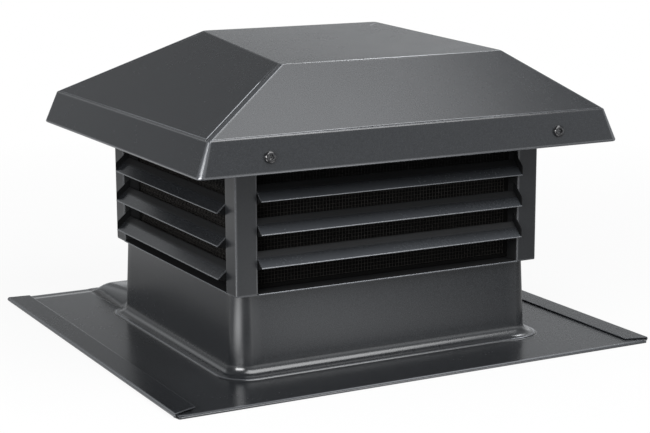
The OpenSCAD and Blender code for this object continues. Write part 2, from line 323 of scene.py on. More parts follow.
def placed(part, side):
    """Turns a part drawn in (along, out, up) for the front of the box to the side named."""
    points, quads = part
    quarter = TURNS[side] * math.pi / 2
    cos, sin = round(math.cos(quarter)), round(math.sin(quarter))
    x, y = points[:, 0], -points[:, 1]
    turned = np.stack([cos * x - sin * y, sin * x + cos * y, points[:, 2]], -1) + BOX_CENTRE
    return turned, quads[:, ::-1]


def local_box(node, side):
    """Lowest and highest (along, out, up) of a CAD node on the side named."""
    corners = np.array([list(p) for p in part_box(node)]) - BOX_CENTRE
    quarter = TURNS[side] * math.pi / 2
    cos, sin = round(math.cos(quarter)), round(math.sin(quarter))
    x, y = cos * corners[:, 0] + sin * corners[:, 1], cos * corners[:, 1] - sin * corners[:, 0]
    local = np.stack([x, -y, corners[:, 2]], -1)
    return local.min(0), local.max(0)


def convexity(mesh):
    """How far each point stands out from its neighbours.

    It is the mean, over the point's edges, of the sine of the angle at which the edge drops
    below the plane square to the point's normal: 0 on a flat, more on a tighter bend."""
    points = np.empty(3 * len(mesh.vertices), np.float32)
    normals = np.empty_like(points)
    ends = np.empty(2 * len(mesh.edges), np.int32)
    mesh.vertices.foreach_get("co", points)
    mesh.vertex_normals.foreach_get("vector", normals)
    mesh.edges.foreach_get("vertices", ends)
    points, normals, ends = points.reshape(-1, 3), normals.reshape(-1, 3), ends.reshape(-1, 2)
    along = unit(points[ends[:, 1]] - points[ends[:, 0]])
    ends = np.concatenate([ends[:, 0], ends[:, 1]])
    drop = -(np.concatenate([along, -along]) * normals[ends]).sum(-1)
    return np.bincount(ends, drop, len(points)) / np.maximum(np.bincount(ends, None, len(points)), 1)


SHARP = math.radians(40)    # faces that meet at more than this have a sharp edge between them
BROKEN = math.radians(50)   # where a piece's edges are broken, it is those that turn by more


def piece(name, parts, finish, nodes, edge=0.0):
    """One mesh object at the origin, from (points, quads) parts, that rides on the vent's body.

    With an edge width, the edges of cut sheet are broken by a bevel of that width."""
    starts = np.cumsum([0] + [len(p) for p, _ in parts[:-1]])
    points = np.concatenate([p for p, _ in parts])
    quads = np.concatenate([q + s for (_, q), s in zip(parts, starts)])
    mesh = bpy.data.meshes.new(name)
    mesh.from_pydata(points.tolist(), [], quads.tolist())
    mesh.shade_smooth()
    mesh.attributes.new("convexity", "FLOAT", "POINT").data.foreach_set("value", convexity(mesh))
    mesh.set_sharp_from_angle(angle=SHARP)
    mesh.materials.append(material(finish))
    made = bpy.data.objects.new(name, mesh)
    bpy.context.scene.collection.objects.link(made)
    if edge:
        bevel = made.modifiers.new("broken edges", "BEVEL")
        bevel.width, bevel.segments = edge, 2
        bevel.limit_method, bevel.angle_limit = "ANGLE", BROKEN
    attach(made, BODY)
    if nodes:
        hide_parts(*nodes)


# ------------------------------------------------------------------ finishes

class Wire:
    """An output socket. Arithmetic on it adds Math nodes."""

    def __init__(self, shader, socket):
        self.shader, self.socket = shader, socket

    def math(self, operation, *values):
        return self.shader.node("ShaderNodeMath", {"operation": operation}, dict(enumerate(values)))

    def __add__(self, other):
        return self.math("ADD", self, other)

    def __radd__(self, other):
        return self.math("ADD", other, self)

    def __sub__(self, other):
        return self.math("SUBTRACT", self, other)

    def __rsub__(self, other):
        return self.math("SUBTRACT", other, self)

    def __mul__(self, other):
        return self.math("MULTIPLY", self, other)

    def __rmul__(self, other):
        return self.math("MULTIPLY", other, self)

    def at_most(self, other):
        return self.math("MINIMUM", self, other)

    def at_least(self, other):
        return self.math("MAXIMUM", self, other)

    def clamped(self):
        """The value kept from 0 to 1."""
        return self.at_least(0.0).at_most(1.0)

    def magnitude(self):
        """The value without its sign."""
        return self.math("ABSOLUTE", self)

    def rise(self, start, width):
        """0 up to the start, 1 from a width beyond it, and a straight line between."""
        return ((self - start) * (1.0 / width)).clamped()

    def fall(self, start, width):
        """1 up to the start, 0 from a width beyond it, and a straight line between."""
        return 1.0 - self.rise(start, width)


class Shader:
    """The node tree of a material or a world, built from nothing."""

    def __init__(self, owner):
        owner.use_nodes = True
        self.tree = owner.node_tree
        self.tree.nodes.clear()

    def node(self, kind, settings=None, sockets=None, output=0):
        """Adds a node, sets its settings, feeds its sockets, and returns the output asked for.

        A socket is named by its number, name or identifier, and takes a value or a Wire."""
        made = self.tree.nodes.new(kind)
        for key, value in (settings or {}).items():
            setattr(made, key, value)
        for key, value in (sockets or {}).items():
            socket = made.inputs[key] if isinstance(key, int) else self._named(made.inputs, key)
            if isinstance(value, Wire):
                self.tree.links.new(value.socket, socket)
            else:
                socket.default_value = value
        if not made.outputs:
            return None
        found = made.outputs[output] if isinstance(output, int) else self._named(made.outputs, output)
        return Wire(self, found)

    @staticmethod
    def _named(sockets, key):
        return next(s for s in sockets if key in (s.identifier, s.name))

    def where(self):
        """The point that is coloured, in Object coordinates. In a world it is a direction."""
        return self.node("ShaderNodeTexCoord", output="Object")

    def along(self, where, axis):
        """One coordinate of a point."""
        return self.node("ShaderNodeSeparateXYZ", None, {0: where}, axis)

    def distance(self, where, point):
        """How far a point is from a fixed one."""
        return self.node("ShaderNodeVectorMath", {"operation": "DISTANCE"}, {0: where, 1: point}, "Value")

    def spot(self, where, point, radius):
        """1 at the fixed point, falling in a straight line to 0 at the radius."""
        return (1.0 - self.distance(where, point) * (1.0 / radius)).at_least(0.0)

    def ray(self, kind):
        """1 to rays of a kind, such as Camera, and 0 to the others."""
        return self.node("ShaderNodeLightPath", output=f"Is {kind} Ray")

    def noise(self, where, scale, detail=2.0, roughness=0.5):
        """Noise from 0 to 1 over the coordinates."""
        return self.node("ShaderNodeTexNoise", None, {
            "Vector": where, "Scale": scale, "Detail": detail, "Roughness": roughness})

    def mixed(self, factor, first, second):
        """Colour from first to second as the factor goes from 0 to 1."""
        return self.node("ShaderNodeMix", {"data_type": "RGBA"}, {
            "Factor_Float": factor, "A_Color": first, "B_Color": second}, "Result_Color")

    def bump(self, strength, distance, height):
        """Normals tilted by a height that varies over the surface."""
        return self.node("ShaderNodeBump", None, {
            "Strength": strength, "Distance": distance, "Height": height})

    def principled(self, sockets):
        """The usual surface, with the sockets given."""
        return self.node("ShaderNodeBsdfPrincipled", None, sockets)

    def emission(self, colour):
        """A surface that gives off the colour at a strength of 1."""
        return self.node("ShaderNodeEmission", None, {"Color": colour, "Strength": 1.0})

    def blend(self, factor, first, second):
        """Surface from first to second as the factor goes from 0 to 1."""
        return self.node("ShaderNodeMixShader", None, {0: factor, 1: first, 2: second})


def rgba(colour, strength=1.0):
    """A colour property as four numbers."""
    return (*(c * strength for c in colour), 1.0)


def powder_coat(shader, look, boxed=False):
    """Satin powder coat: faint specks, a slow drift of gloss, burnished bends, and a painted
    highlight along the sharpest bends and the edges: a paler coat, also made metallic, so
    that it reflects the lamps as well.

    In a narrow groove the coat is painted black and dull, as painted shade. On the louvred
    box it is so behind the outer faces too, as painted shade, where inside says how far a
    point lies behind the nearest face; and the lips of the front and back blades, out beyond
    those faces, are painted paler, as painted light. On the other pieces no painted highlight
    lies under the pan's edge."""
    where = shader.where()
    specks = shader.noise(where, 480.0, 1.0)
    cloud = shader.noise(where, 55.0, 3.0, 0.55)
    drift = shader.noise(where, 7.0, 1.0)
    stands_out = shader.node("ShaderNodeAttribute", {"attribute_name": "convexity"}, output="Fac")
    # Painted highlight: bends and edges that stand out get a paler, metallic coat
    edge_highlight = stands_out.rise(0.022, 0.111)
    burnished = (stands_out.magnitude() * 70.0).at_most(1.0) * look.burnish
    # Painted shade: creases that sink in are painted black and made rougher
    crease_shade = (stands_out * -1.0).rise(0.03, 0.05)
    pale = (specks * 2.4 + cloud * 0.6 - 1.0).clamped()
    colour = shader.mixed(pale, rgba(look.coat), rgba(look.coat_pale))
    if boxed:
        half_x, half_y = (float(half) for half in BOX_HALF[:2])
        x = shader.along(where, "X").magnitude()
        y = (shader.along(where, "Y") - float(BOX_CENTRE[1])).magnitude()
        # Painted shade: behind the box's outer faces the coat is painted black and rough, with no painted
        # highlight or burnish
        inside = (half_x - x).at_most(half_y - y).rise(-0.0006, 0.0025)
        edge_highlight, burnished = edge_highlight * (1.0 - inside), burnished * (1.0 - inside)
        # Painted light: out beyond the front and back faces, the blade lips are painted paler
        lit_lips = y.rise(half_y, 0.0077)
        colour = shader.mixed(lit_lips, colour, rgba(look.coat_pale, 3.1))
    else:
        # No painted highlight in the lowest millimetre, under the pan's edge
        edge_highlight = edge_highlight * shader.along(where, "Z").rise(0.001, 0.00067)
    colour = shader.mixed(edge_highlight, colour, rgba(look.coat_edge_highlight))
    # Painted shade in the creases
    colour = shader.mixed(crease_shade, colour, rgba(look.end))
    gloss = look.roughness - 0.07 + specks * 0.04 + cloud * 0.04 + drift * 0.06 - edge_highlight * 0.04 + crease_shade * 0.3
    if boxed:
        # Painted shade behind the box's outer faces
        colour = shader.mixed(inside, colour, rgba(look.end))
        gloss = gloss + inside * 0.35
    return shader.principled({
        "Base Color": colour, "Roughness": gloss, "Metallic": edge_highlight * look.glint,
        "Normal": shader.bump(0.04, 0.00005, specks),
        "Coat Weight": burnished, "Coat IOR": 2.0, "Coat Roughness": 0.2,
        "Specular IOR Level": 0.72, "Specular Tint": (0.96, 0.975, 1.0, 1.0)})


def box_coat(shader, look):
    """The powder coat as it looks on the louvred box."""
    return powder_coat(shader, look, boxed=True)


def blade_end(shader, look):
    """Black of the closed blade ends, a little grainy."""
    grain = shader.noise(shader.where(), 700.0, 2.0)
    return shader.principled({
        "Base Color": shader.mixed(grain, rgba(look.end), rgba(look.end, 2.0)),
        "Roughness": 0.45 + grain * 0.2, "Specular IOR Level": 0.15})


def drawn_wire(shader, look):
    """Dull drawn wire, darker and rougher in patches, and black in the shade above the top blades."""
    where = shader.where()
    patches = shader.noise(where, 90.0, 2.0)
    top = float(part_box("blade_front_1")[1][2])
    shaded = shader.along(where, "Z").rise(top - 0.014, 0.005)
    colour = shader.mixed(patches, rgba(look.wire, 0.6), rgba(look.wire, 1.4))
    return shader.principled({
        "Base Color": shader.mixed(shaded, colour, rgba(look.end, 0.5)),
        "Roughness": 0.35 + patches * 0.3, "Specular IOR Level": 0.2})


def shade_backing_surface(shader, look):
    """A black sheet with a fine weave, which stands in for the shade inside the box behind the wires."""
    weave = shader.noise(shader.where(), 1600.0, 2.0)
    return shader.principled({
        "Base Color": shader.mixed(weave, rgba(look.cloth, 0.5), rgba(look.cloth, 1.6)),
        "Roughness": 0.95, "Specular IOR Level": 0.1, "Normal": shader.bump(0.6, 0.0002, weave)})


def black_oxide(shader, look):
    """Glossy black oxide with faint scuffs."""
    scuffs = shader.noise(shader.where(), 1400.0, 3.0, 0.6)
    return shader.principled({
        "Base Color": shader.mixed(scuffs, rgba(look.screw), rgba(look.screw, 2.5)),
        "Roughness": 0.08 + scuffs * 0.12, "Specular IOR Level": 0.3,
        "Coat Weight": 1.0, "Coat IOR": 1.7, "Coat Roughness": 0.06,
        "Normal": shader.bump(0.15, 0.00003, scuffs)})


# Painted pools of light and of shade on the floor, which only a reflection finds: x, y, radius and by how
# much
FLOOR_LIGHT_POOLS = ((-0.43, -0.25, 0.20, 5.4), (0.02, -0.38, 0.26, 1.5), (-0.5, 0.5, 0.3, 1.0))
FLOOR_SHADE_POOLS = ((-0.20, -0.41, 0.20, 1.8), (0.52, -0.30, 0.35, 1.0))


def studio_floor(shader, look):
    """Pale floor that is white to the camera, but for a faint shadow near the vent.

    To a reflection it glows grey, with painted pools of light, as from lamps near the ground,
    and painted pools of shade."""
    where = shader.where()
    white = (1.0, 1.0, 1.0, 1.0)
    seen, glossy = shader.ray("Camera"), shader.ray("Glossy")
    far = shader.distance(where, (0.0, 0.0, 0.0)).rise(0.4, 0.833)
    # Painted light: what a reflection finds is a grey glow with the painted pools of light and shade
    painted_glow = 0.32
    for x, y, radius, more in FLOOR_LIGHT_POOLS:
        painted_glow = painted_glow + shader.spot(where, (x, y, 0.0), radius) * more
    for x, y, radius, less in FLOOR_SHADE_POOLS:
        painted_glow = painted_glow * (1.0 - shader.spot(where, (x, y, 0.0), radius) * less).at_least(0.0)
    paint = shader.node("ShaderNodeBsdfDiffuse", None, {
        "Color": shader.mixed(seen, rgba(look.floor), white)})
    paint = shader.blend(glossy * 0.85, paint, shader.emission(painted_glow))
    return shader.blend(seen * (0.9 + far * 0.1), paint, shader.emission(white))


SURFACES = {
    "anthracite_coat": powder_coat,
    "anthracite_coat_box": box_coat,
    "black_blade_end": blade_end,
    "screen_wire": drawn_wire,
    "black_shade_backing": shade_backing_surface,
    "black_oxide_screw": black_oxide,
    "studio_floor": studio_floor,
}


def material(name):
    """The material of that name, made the first time that a piece asks for it."""
    found = bpy.data.materials.get(name)
    if found:
        return found
    made = bpy.data.materials.new(name)
    shader = Shader(made)
    surface = SURFACES[name](shader, bpy.context.scene.vent_finishes)
    shader.node("ShaderNodeOutputMaterial", None, {"Surface": surface})
    return made


# ------------------------------------------------------------------ flashing

SADDLE_BLEND = 0.005   # where the two profiles of the saddle differ by less, they run together
PAN_BLEND = 0.004      # where the saddle stands out of the pan by less, it runs out into it
SHOULDER_POWER = 2.2   # how full the rounded side of the saddle is
CORNER_POWER = 1.25    # how much closer the rays of a corner lie near its sides than its middle


def smooth_max(a, b, blend):
    """The greater of a and b, raised by a parabola where they differ by less than blend."""
    near = np.maximum(blend - np.abs(a - b), 0.0) / blend
    return np.maximum(a, b) + near * near * blend / 4


def smooth_step(t):
    """0 below 0, 1 above 1, and 3 t squared less 2 t cubed between."""
    t = np.clip(t, 0, 1)
    return t * t * (3 - 2 * t)


def saddle_height(x, y, sizes):
    """Height above the pan of the raised saddle behind the collar, at x and y from the box centre.

    It is the smaller of two profiles: across, one less a power of the distance in from the
    foot of the shoulder; along, a straight fall from the collar, then a parabola to the back."""
    collar_back = (BOX_HI[1] - BOX_LO[1]) / 2 - sizes.collar_inset_front
    back = PAN_HI[1] - BOX_CENTRE[1] - sizes.saddle_margin
    crest = back - sizes.saddle_slope
    inside = np.clip((sizes.saddle_width - np.abs(x)) / sizes.saddle_shoulder, 0, 1)
    across = sizes.saddle_height * (1 - (1 - inside) ** SHOULDER_POWER)
    fall = np.clip((y - collar_back) / (crest - collar_back), 0, 1)
    along = sizes.saddle_height + (sizes.saddle_back - sizes.saddle_height) * fall
    along = along * (1 - (1 - np.clip((back - y) / sizes.saddle_slope, 0, 1)) ** 2)
    run_in = smooth_step((y - collar_back) / sizes.saddle_run_in + 1)
    return -smooth_max(-across, -along, SADDLE_BLEND) * run_in


def collar_ring(sizes):
    """Core points and outward directions round a rectangle with round corners.

    A point at distance d outside the collar's top outline is core + (radius + d) * direction.
    The corners turn in equal angles and their core point stays, and the sides are straight."""
    core_x = BOX_HI[0] - sizes.collar_inset_side - sizes.collar_radius
    core_y = (BOX_HI[1] - BOX_LO[1]) / 2 - sizes.collar_inset_front - sizes.collar_radius
    corner_steps, side_steps = 40, 28
    signs = np.array([[-1, -1], [1, -1], [1, 1], [-1, 1]])
    cores, ways = [], []
    for k in range(4):
        here, there = signs[k] * (core_x, core_y), signs[(k + 1) % 4] * (core_x, core_y)
        angle = np.radians(180 + 90 * k) + np.linspace(0, math.pi / 2, corner_steps + 1)
        cores.append(np.repeat(here[None], corner_steps + 1, 0))
        ways.append(np.stack([np.cos(angle), np.sin(angle)], -1))
        part = np.linspace(0, 1, side_steps + 1)[1:-1, None]
        cores.append(here + (there - here) * part)
        ways.append(np.repeat(ways[-1][-1:], side_steps - 1, 0))
    return np.concatenate(cores), np.concatenate(ways)


def pan_edge(cores, ways, half, middle, sizes):
    """Where each ray out from the collar meets the pan's edge.

    From a side the ray goes straight on. In a corner the first half of the rays spread along
    one edge and the other half along the next, by a power of the tangent of the angle that they
    have turned from that side's ray, so that one ray ends at the pan's own corner. What lies
    beyond the corner's radius is then drawn in to it."""
    axis = np.argmax(np.abs(ways), axis=-1)
    edge = cores.copy()
    rows = np.arange(len(edge))
    outer = middle + np.sign(ways) * half
    edge[rows, axis] = outer[rows, axis]
    slant = np.abs(ways).min(-1) > 1e-9
    other = 1 - axis
    spread = np.abs(ways[rows, other]) / np.abs(ways[rows, axis])
    reach = outer[rows, other] - cores[rows, other]
    spread_out = cores[rows, other] + reach * spread ** CORNER_POWER
    edge[rows, other] = np.where(slant, spread_out, edge[rows, other])
    beyond = np.maximum(np.abs(edge - middle) - (half - sizes.corner), 0)
    pull = np.linalg.norm(beyond, axis=-1, keepdims=True)
    rounded = beyond * np.minimum(1, sizes.corner / np.maximum(pull, 1e-9))
    return edge - np.sign(edge - middle) * (beyond - rounded)


def flashing_sheet(sizes):
    """Pan, saddle, cove, collar and turned-in top as one sheet, from the pan's edge inwards and up.

    The pan's rings run from its edge to the foot, a little closer together near the foot. Each
    ring further in is the collar's outline moved out by d. Its height is the pan or the step,
    or the saddle where that is higher, plus a quarter circle over the cove; the wall then
    rises in a straight line to the bend round the collar's top."""
    top, pan = PAN_HI[2], 2 * sizes.sheet
    cores, ways = collar_ring(sizes)
    middle = (PAN_LO[:2] + PAN_HI[:2]) / 2 - BOX_CENTRE[:2]
    half = (PAN_HI[:2] - PAN_LO[:2]) / 2 - (2 * sizes.sheet, sizes.sheet)
    edge = pan_edge(cores, ways, half, middle, sizes)
    foot = sizes.collar_taper + sizes.cove + sizes.ledge
    foot_outline = cores + ways * (sizes.collar_radius + foot + sizes.step_run)

    def level(plan, step_share):
        """Height of the sheet without the cove, at points in plan."""
        raised = pan + saddle_height(plan[..., 0], plan[..., 1], sizes)
        return smooth_max(pan + sizes.step * step_share, raised, PAN_BLEND)

    pan_rings, crowding = 44, 1.15
    out = np.linspace(1, 0, pan_rings)[:, None, None] ** crowding
    plan = foot_outline + (edge - foot_outline) * out
    pan_rows = np.dstack([plan, level(plan, 0.0)])

    fall = np.linspace(0, 1, 6)[1:]
    step_d = foot + sizes.step_run * (1 - fall)
    plan = cores + ways * (sizes.collar_radius + step_d[:, None, None])
    step_rows = np.dstack([plan, level(plan, smooth_step(fall)[:, None])])

    turn = np.linspace(0, math.pi / 2, 13)
    cove_d = sizes.collar_taper + sizes.cove * (1 - np.sin(turn))
    plan = cores + ways * (sizes.collar_radius + cove_d[:, None, None])
    cove_rise = sizes.cove * (1 - np.cos(turn))
    cove_rows = np.dstack([plan, level(plan, 1.0) + cove_rise[:, None]])

    def ring(d, z):
        return np.column_stack([cores + ways * (sizes.collar_radius + d), np.full(len(cores), z)])

    bend = fillet(cove_rows[-1], ring(0.0, top), ring(-sizes.collar_flange, top), sizes.collar_fold)
    bend = bend.transpose(1, 0, 2)
    rise = np.linspace(0, 1, 14)[1:-1, None, None]
    wall_rows = cove_rows[-1] + (bend[0] - cove_rows[-1]) * rise
    flange = ring(-sizes.collar_flange, top)[None]
    return np.concatenate([pan_rows, step_rows, cove_rows, wall_rows, bend, flange])


def build_flashing(sizes):
    """Parts of the flashing: the drawn sheet, its side hems and its folded-under hems.

    A hem is a strip carried along the edge. The ends of a side hem are cut back in a straight
    line towards its inner edge, and those of an under hem follow the circle of the corner."""
    outer = flashing_sheet(sizes) + BOX_CENTRE
    inner = thicken(outer, sizes.sheet)
    parts = [skin(np.concatenate([outer, inner[::-1]]), loop=True)]

    t = sizes.sheet
    half_x, half_y = PAN_HI[:2]
    start, top = (half_x - 2 * t, 1.5 * t), (half_x - 2 * t, 4.5 * t)
    reach = half_y - sizes.side_hem_setback
    for sign, gap in ((-1, sizes.left_hem_open), (1, sizes.right_hem_open)):
        tip = (half_x - sizes.side_hem + t / 2, 2.5 * t + gap)
        outline = strip_outline(side_hem_path(*np.array([start, top, tip])), t)
        cut = sizes.side_hem_mitre * np.clip((half_x - 2 * t - outline[:, 0]) / sizes.side_hem, 0, 1)
        points, quads = extrude(outline, cut - reach, reach - cut)
        parts.append((points[:, [1, 0, 2]] * (sign, 1, 1), quads[:, ::-1] if sign > 0 else quads))
    under = [(half_y - t, 1.5 * t), (half_y - t / 2, 1.5 * t), (half_y - t / 2, t / 2),
             (half_y - sizes.under_hem, t / 2)]
    outline = strip_outline(bent_path(under, 0.49 * t), 0.98 * t)
    past = np.clip(outline[:, 0] - (half_y - sizes.corner), 0, sizes.corner)
    span = half_x - 2 * t - sizes.corner + np.sqrt(sizes.corner ** 2 - past ** 2)
    for sign in (-1, 1):
        points, quads = extrude(outline, -span, span)
        parts.append((points * (1, sign, 1), quads if sign > 0 else quads[:, ::-1]))
    return parts


def side_hem_path(start, top, tip):
    """Half a turn up and over from the pan's edge to the top of the bend, then straight to the tip."""
    angle = np.linspace(-math.pi / 2, math.pi / 2, 13)[:, None]
    arc = (start + top) / 2 + (top - start)[1] / 2 * np.hstack([np.cos(angle), np.sin(angle)])
    away = unit(tip - top) * HOLD
    return np.concatenate([arc, [top + away, tip - away, tip]])


# ------------------------------------------------------------------ hood

def hood_corners(sizes):
    """The hood's rings of four corners: turned-in edge, skirt edge, eave, top panel.

    Corners run front left, front right, back right, back left. The top panel's corners all
    lie on the side slopes, which have one grade from front to back."""
    half = (HOOD_HI[:2] - HOOD_LO[:2]) / 2
    middle = (HOOD_HI[:2] + HOOD_LO[:2]) / 2
    low, high = HOOD_LO[2], HOOD_HI[2]
    eave = low + sizes.skirt
    grade = sizes.side_run / sizes.rise
    eave_half = half - (sizes.lean_side, sizes.lean_front)
    signs = np.array([[-1, -1], [1, -1], [1, 1], [-1, 1]])

    def ring(size, z):
        return np.column_stack([middle + signs * size, np.full(4, z)])

    crown = ring(eave_half, high)
    crown[:2, 2] = eave + sizes.rise
    crown[:, 0] -= signs[:, 0] * grade * (crown[:, 2] - eave)
    crown[:2, 1] += sizes.front_run
    crown[2:, 1] -= sizes.back_run
    return np.stack([ring(half - sizes.turn_in, low + 0.5 * sizes.sheet), ring(half, low),
                     ring(eave_half, eave), crown])


SEAM_STEP = 0.0006   # from one point to the next beside a hip, for the section of its seam


def round_ring(corners, radii):
    """Rings of points round four corners: an arc at each corner, and close points beside it.

    Each ring has its own radius. Returns the points and, for each, its distance along its side
    from the nearer arc, which is 0 on an arc and negative on the front and back sides."""
    arcs = fillet(np.roll(corners, 1, 1), corners, np.roll(corners, -1, 1), radii[:, None, None])
    near = np.append(np.arange(1, 8) * SEAM_STEP, (0.0050, 0.0075))
    start, end = arcs[:, :, -1], np.roll(arcs, -1, 1)[:, :, 0]
    span = np.linalg.norm(end - start, axis=-1, keepdims=True)
    middle = near[-1] + (span - 2 * near[-1]) * np.linspace(0, 1, 10)[1:-1]
    near_all = np.broadcast_to(near, (*span.shape[:2], len(near)))
    place = np.concatenate([near_all, middle, (span - near_all)[..., ::-1]], -1)[..., None]
    sides = start[:, :, None] + unit(end - start)[:, :, None] * place
    points = np.concatenate([arcs, sides], 2)
    beside = np.minimum(place, span[..., None] - place)[..., 0]
    beside[:, ::2] = -1.0
    away = np.concatenate([np.zeros(arcs.shape[:3]), beside], 2)
    return points.reshape(len(corners), -1, 3), away.reshape(len(corners), -1)


def between(first, last, count):
    """Rings evenly spaced between two rings, both left out."""
    return first + (last - first) * np.linspace(0, 1, count + 2)[1:-1, None, None]


def build_hood(sizes):
    """The hood as one sheet: turned-in edge, leaning skirt, four slopes and the top panel.

    Straight lines join the rings of corners, with an arc at every fold. A shallow seam, half an
    ellipse in section, is pressed in beside each hip, and a finer one above the eave."""
    flat, crease_step = 0.8, sizes.seam_width / 7
    corners = hood_corners(sizes)
    radii = np.array([sizes.skirt_corner, sizes.skirt_corner, sizes.hip_fold, sizes.hip_fold])
    rings, away = round_ring(corners, radii)
    centre = corners[3].mean(0)
    rings = np.concatenate([rings, centre + (rings[3:] - centre) * flat])
    folds = [fillet(rings[k - 1], rings[k], rings[k + 1], radius).transpose(1, 0, 2)
             for k, radius in ((1, sizes.skirt_fold), (2, sizes.eave_fold), (3, sizes.crown_fold))]
    climb = unit(folds[2][0] - folds[1][-1])
    crease = folds[1][-1] + climb * np.arange(1, 5)[:, None, None] * crease_step
    slope = np.concatenate([crease, between(crease[-1], folds[2][0], 5)])
    outer = np.concatenate([rings[:1], folds[0], between(folds[0][-1], folds[1][0], 3), folds[1],
                            slope, folds[2], rings[4:]])
    inner = thicken(outer, sizes.sheet)
    first = 1 + len(folds[0]) + 3 + len(folds[1])
    offset = (away[2] - sizes.seam_place) / (sizes.seam_width / 2)
    seam = np.where(away[2] > 0, np.maximum(1 - offset ** 2, 0) ** 0.5, 0) * sizes.seam_depth
    seam = np.tile(seam, (len(slope), 1))
    seam[1] = np.maximum(seam[1], sizes.seam_depth / 2)
    slant = slice(first, first + len(slope))
    for surface in (outer, inner):
        surface[slant] -= seam[..., None] * unit(outer[slant] - inner[slant])
    return [skin(np.concatenate([inner[::-1], outer]))]


# ------------------------------------------------------------------ louvred box

def build_post(sizes, side):
    """The post to the left of the side named, bent up from one strip, and its foot plate.

    In plan the strip runs in behind one face, round the corner and in behind the other."""
    sill_low, sill_high = local_box("sill_" + side, side)
    low, high, reach = BOX_LO[2], BOX_HI[2], sill_high[1]
    t = sizes.sheet
    end = sizes.post_face - sill_low[0]
    face, lip = sizes.post_face - t / 2, sizes.lip
    x, y = -end + t / 2, reach - t / 2
    plan = [(-end + lip, reach - face), (x, reach - face), (x, y),
            (-end + face, y), (-end + face, reach - lip)]
    outline = strip_outline(bent_path(plan, sizes.bend), t)
    foot = np.array([(-end + 0.4 * t, reach - face), (-end + face, reach - face),
                     (-end + face, reach - 0.4 * t), (-end + 0.4 * t, reach - 0.4 * t)])
    parts = [upright(outline, (low + t, low + t + HOLD, high - HOLD, high)),
             upright(foot, (low, low + 1.1 * t))]
    return [placed(p, side) for p in parts]


def build_sill(sizes, side):
    """A ledge under the opening with an upstand behind the screen, bent from one strip."""
    low, high = local_box("sill_" + side, side)
    t = sizes.sheet
    path = [(high[1], low[2] + t / 2), (low[1] + t / 2, low[2] + t / 2), (low[1] + t / 2, high[2])]
    outline = strip_outline(bent_path(path, sizes.bend), t)
    return [placed(extrude(outline, low[0], high[0]), side)]


def build_header(sizes, side):
    """A fascia, a ledge and a stop for the screen over the opening, bent from one strip."""
    low, high = local_box("header_" + side, side)
    t = sizes.sheet
    path = [(high[1] - t / 2, low[2]), (high[1] - t / 2, high[2] - t / 2),
            (low[1] + t / 2, high[2] - t / 2), (low[1] + t / 2, high[2] - sizes.upstand - t)]
    outline = strip_outline(bent_path(path, sizes.bend), t)
    return [placed(extrude(outline, low[0], high[0]), side)]


def near_end(side):
    """Which end of a side's blades is by the front left or the back right post."""
    return -1 if side in ("front", "back") else 1


def blade_line(sizes, side, row):
    """Lowest and highest corners of a blade's box, and its inner and outer edge at mid-sheet."""
    low, high = local_box(f"blade_{side}_{row}", side)
    t = sizes.sheet
    lean = unit(np.array([low[1] - high[1], high[2] - low[2] - 2 * t]))
    tip = np.array([high[1] - t / 2, low[2] + t / 2])
    return low, high, tip + lean * (tip[0] - low[1]) / -lean[0], tip


def build_blade(sizes, side, row):
    """One blade: a slanting strip, a hair short of the tab that closes its far end."""
    _, high, inner, tip = blade_line(sizes, side, row)
    outline = strip_outline(bent_path([inner, tip]), sizes.sheet)
    start, end = sorted((near_end(side) * high[0], -near_end(side) * (high[0] - HOLD)))
    return [placed(extrude(outline, start, end), side)]


def build_ends(sizes, side, row):
    """What closes a blade's ends: a cheek at one and a tab at the other.

    The cheek is a triangle below the end by the front left or back right post, cut off level
    at its foot. The tab at the other end stands up along the blade, with a round outer corner."""
    low, high, inner, tip = blade_line(sizes, side, row)
    t, near = sizes.sheet, near_end(side)
    start, end = sorted((near * (high[0] - HOLD), near * (high[0] - HOLD - t)))
    foot, fall_share = tip[1] - sizes.cheek_drop, 0.6
    fallen = high[1] - (high[1] - low[1]) * fall_share
    cheek = np.array([tip, (fallen, foot), (low[1], foot), inner])
    parts = [extrude(cheek, start, end)]

    start, end = sorted((-near * high[0], -near * (high[0] - t)))
    up = np.array([0.0, sizes.tab_height])
    corner = fillet(tip, tip + up, inner + up, sizes.tab_corner, 8)
    top = np.concatenate([corner, (inner + up)[None]])
    bottom = tip + (inner - tip) * np.linspace(0, 1, len(top))[:, None]
    parts.append(extrude(np.concatenate([top, bottom[::-1]]), start, end))
    return [placed(p, side) for p in parts]


# ------------------------------------------------------------------ screens

SEAT = 0.75   # share of a frame's border that the wires and the cloth reach into


def tubes(paths, radius, up):
    """Four-sided tubes round many paths of points at once: (tubes, points, 3) to parts.

    The corners of a ring stand a radius out from the path: to both sides, above and below."""
    along = unit(np.gradient(paths, axis=1))
    side = unit(np.cross(along, up))
    top = np.cross(side, along)
    corners = np.stack([side, top, -side, -top], 2) * radius
    return [skin(rings) for rings in paths[:, :, None] + corners]


